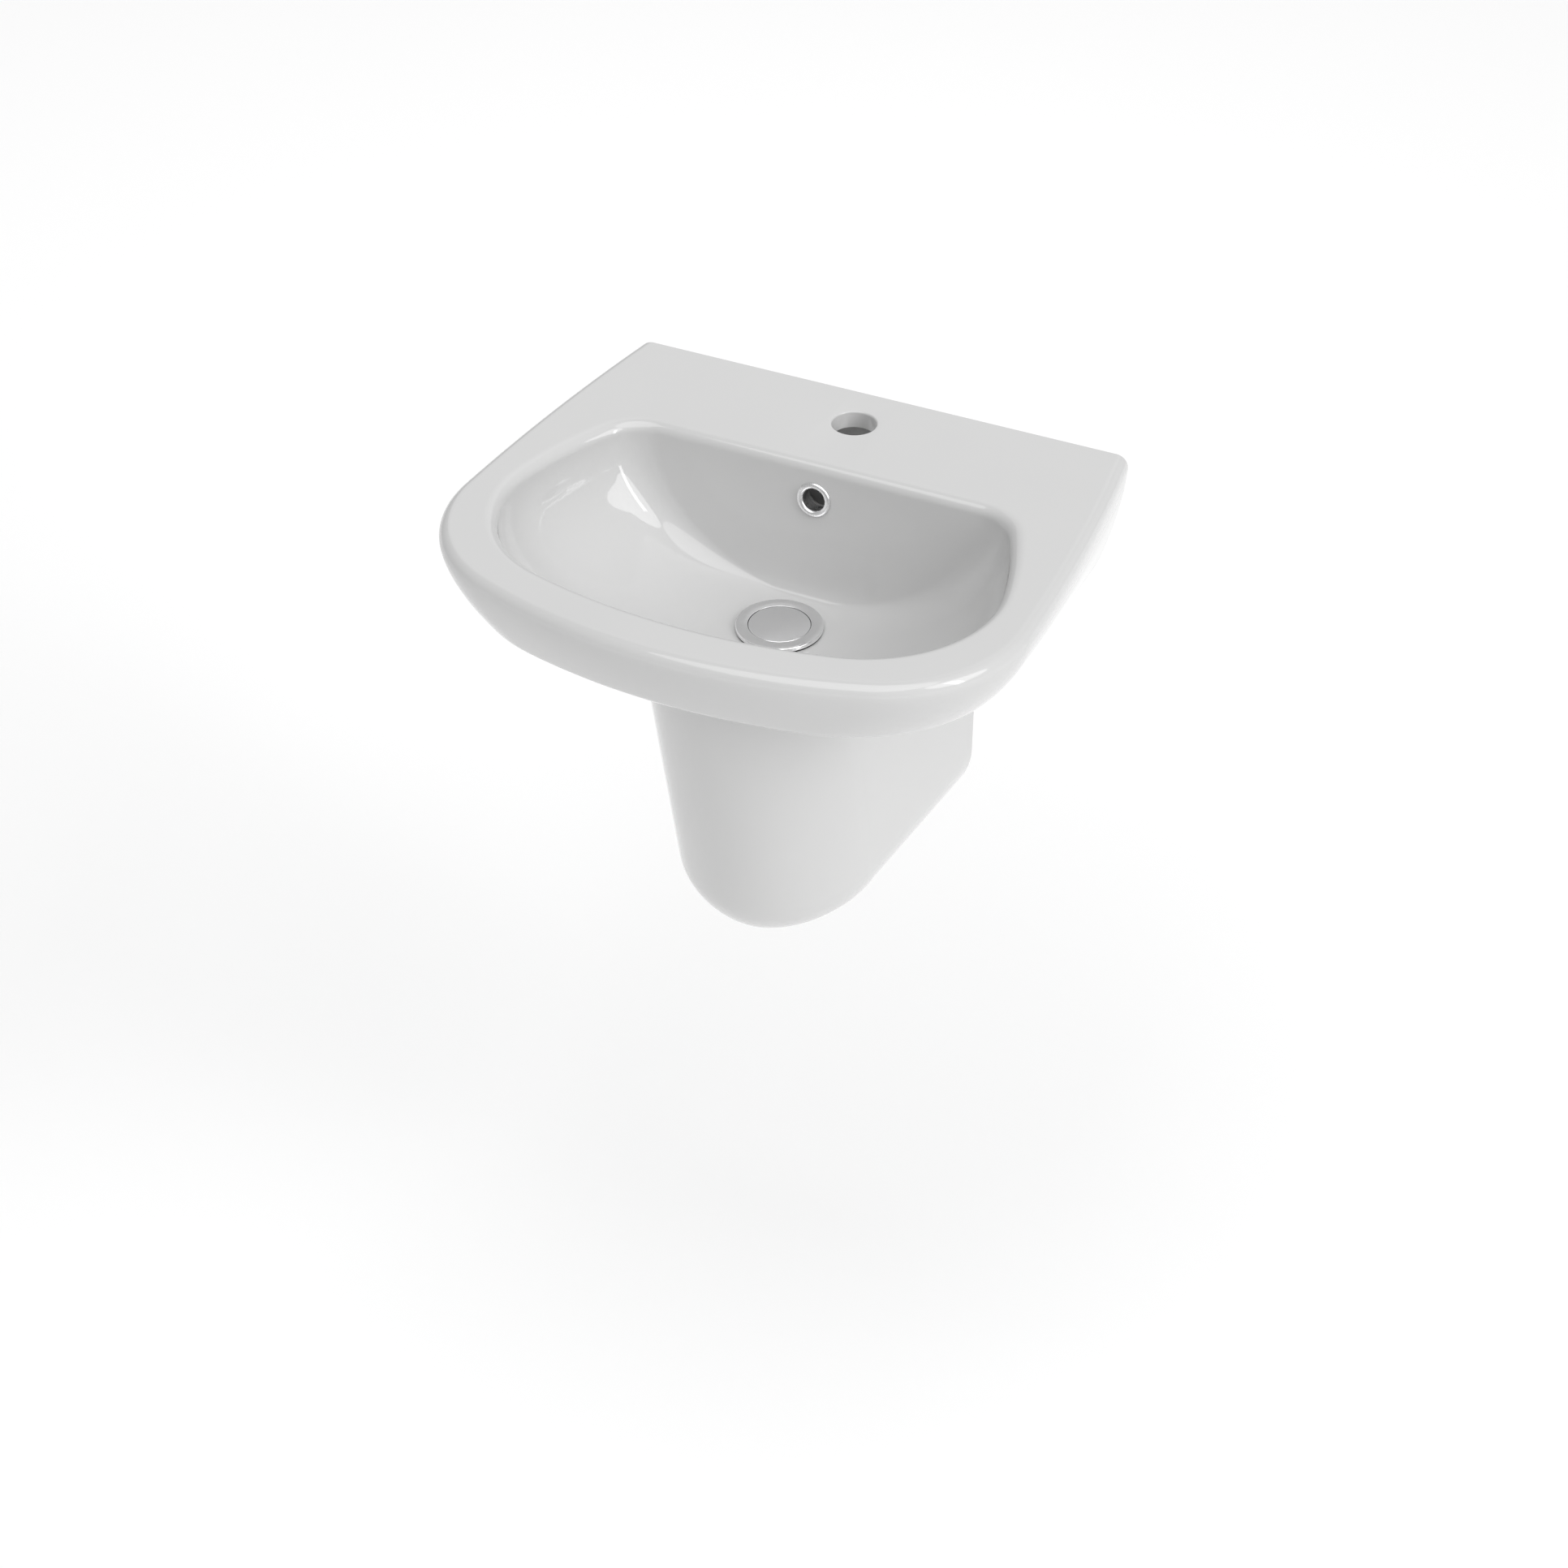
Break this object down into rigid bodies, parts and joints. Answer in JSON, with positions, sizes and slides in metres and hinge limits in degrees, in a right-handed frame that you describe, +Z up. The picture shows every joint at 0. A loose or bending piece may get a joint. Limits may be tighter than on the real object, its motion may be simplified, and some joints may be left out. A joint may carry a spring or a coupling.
{
  "type": "wall-hung wash basin with semi-pedestal",
  "caption": "Wall-hung ceramic wash basin with a bowed front on a semi-pedestal, with tap hole, overflow, push-button waste and bottle trap.",
  "frame": {"origin": "midway between the basin's two wall studs, in the plane of the wall", "axes": "+Y into the wall, +Z up, the basin's front faces -Y"},
  "size_m": [0.461, 0.459, 0.383],
  "materials": {
    "glazed_ceramic": "glossy white glaze",
    "chrome": "polished",
    "brass": "turned",
    "steel": "zinc-plated",
    "white_plastic": "satin moulded",
    "black_rubber": "matte"
  },
  "bodies": {
    "fixed": {"basin": "glazed_ceramic", "semi_pedestal": "glazed_ceramic", "overflow_ring": "chrome", "waste_body": "chrome", "cartridge_sleeve": "white_plastic", "cartridge_spring": "steel", "waste_top_seal": "black_rubber", "waste_lower_seal": "black_rubber", "waste_backnut": "brass", "union_nut": "white_plastic", "union_seal": "black_rubber", "inlet_tube": "white_plastic", "head_nut": "white_plastic", "head_seal": "black_rubber", "trap_body": "white_plastic", "outlet_seal": "black_rubber", "outlet_nut": "white_plastic", "outlet_pipe": "white_plastic", "basin_studs": "steel", "basin_bushes": "white_plastic", "basin_washers": "steel", "basin_nuts": "steel", "pedestal_studs": "steel", "pedestal_washers": "steel", "pedestal_nuts": "steel"},
    "plug": {"waste_plug": "chrome", "plug_spindle": "brass", "plug_seal": "black_rubber"},
    "cup_seal": {"trap_cup_seal": "black_rubber"},
    "cup": {"trap_cup": "white_plastic"}
  },
  "joints": [
    {"name": "plug_slide", "type": "slide", "parent": "fixed", "child": "plug", "axis": [0, 0, 1], "range_m": [0, 0.008], "deforming": ["cartridge_spring"]},
    {"name": "cup_slide", "type": "slide", "parent": "fixed", "child": "cup_seal", "axis": [0, 0, -1], "range_m": [0, 0.012]},
    {"name": "cup_turn", "type": "hinge", "parent": "cup_seal", "child": "cup", "pos_m": [0, -0.178, -0.24], "axis": [0, 0, -1], "range_deg": [0, 1080]}
  ],
  "couplings": [
    {"joint": "cup_slide", "follows": "cup_turn", "m_per_rad": 0.00063662}
  ]
}
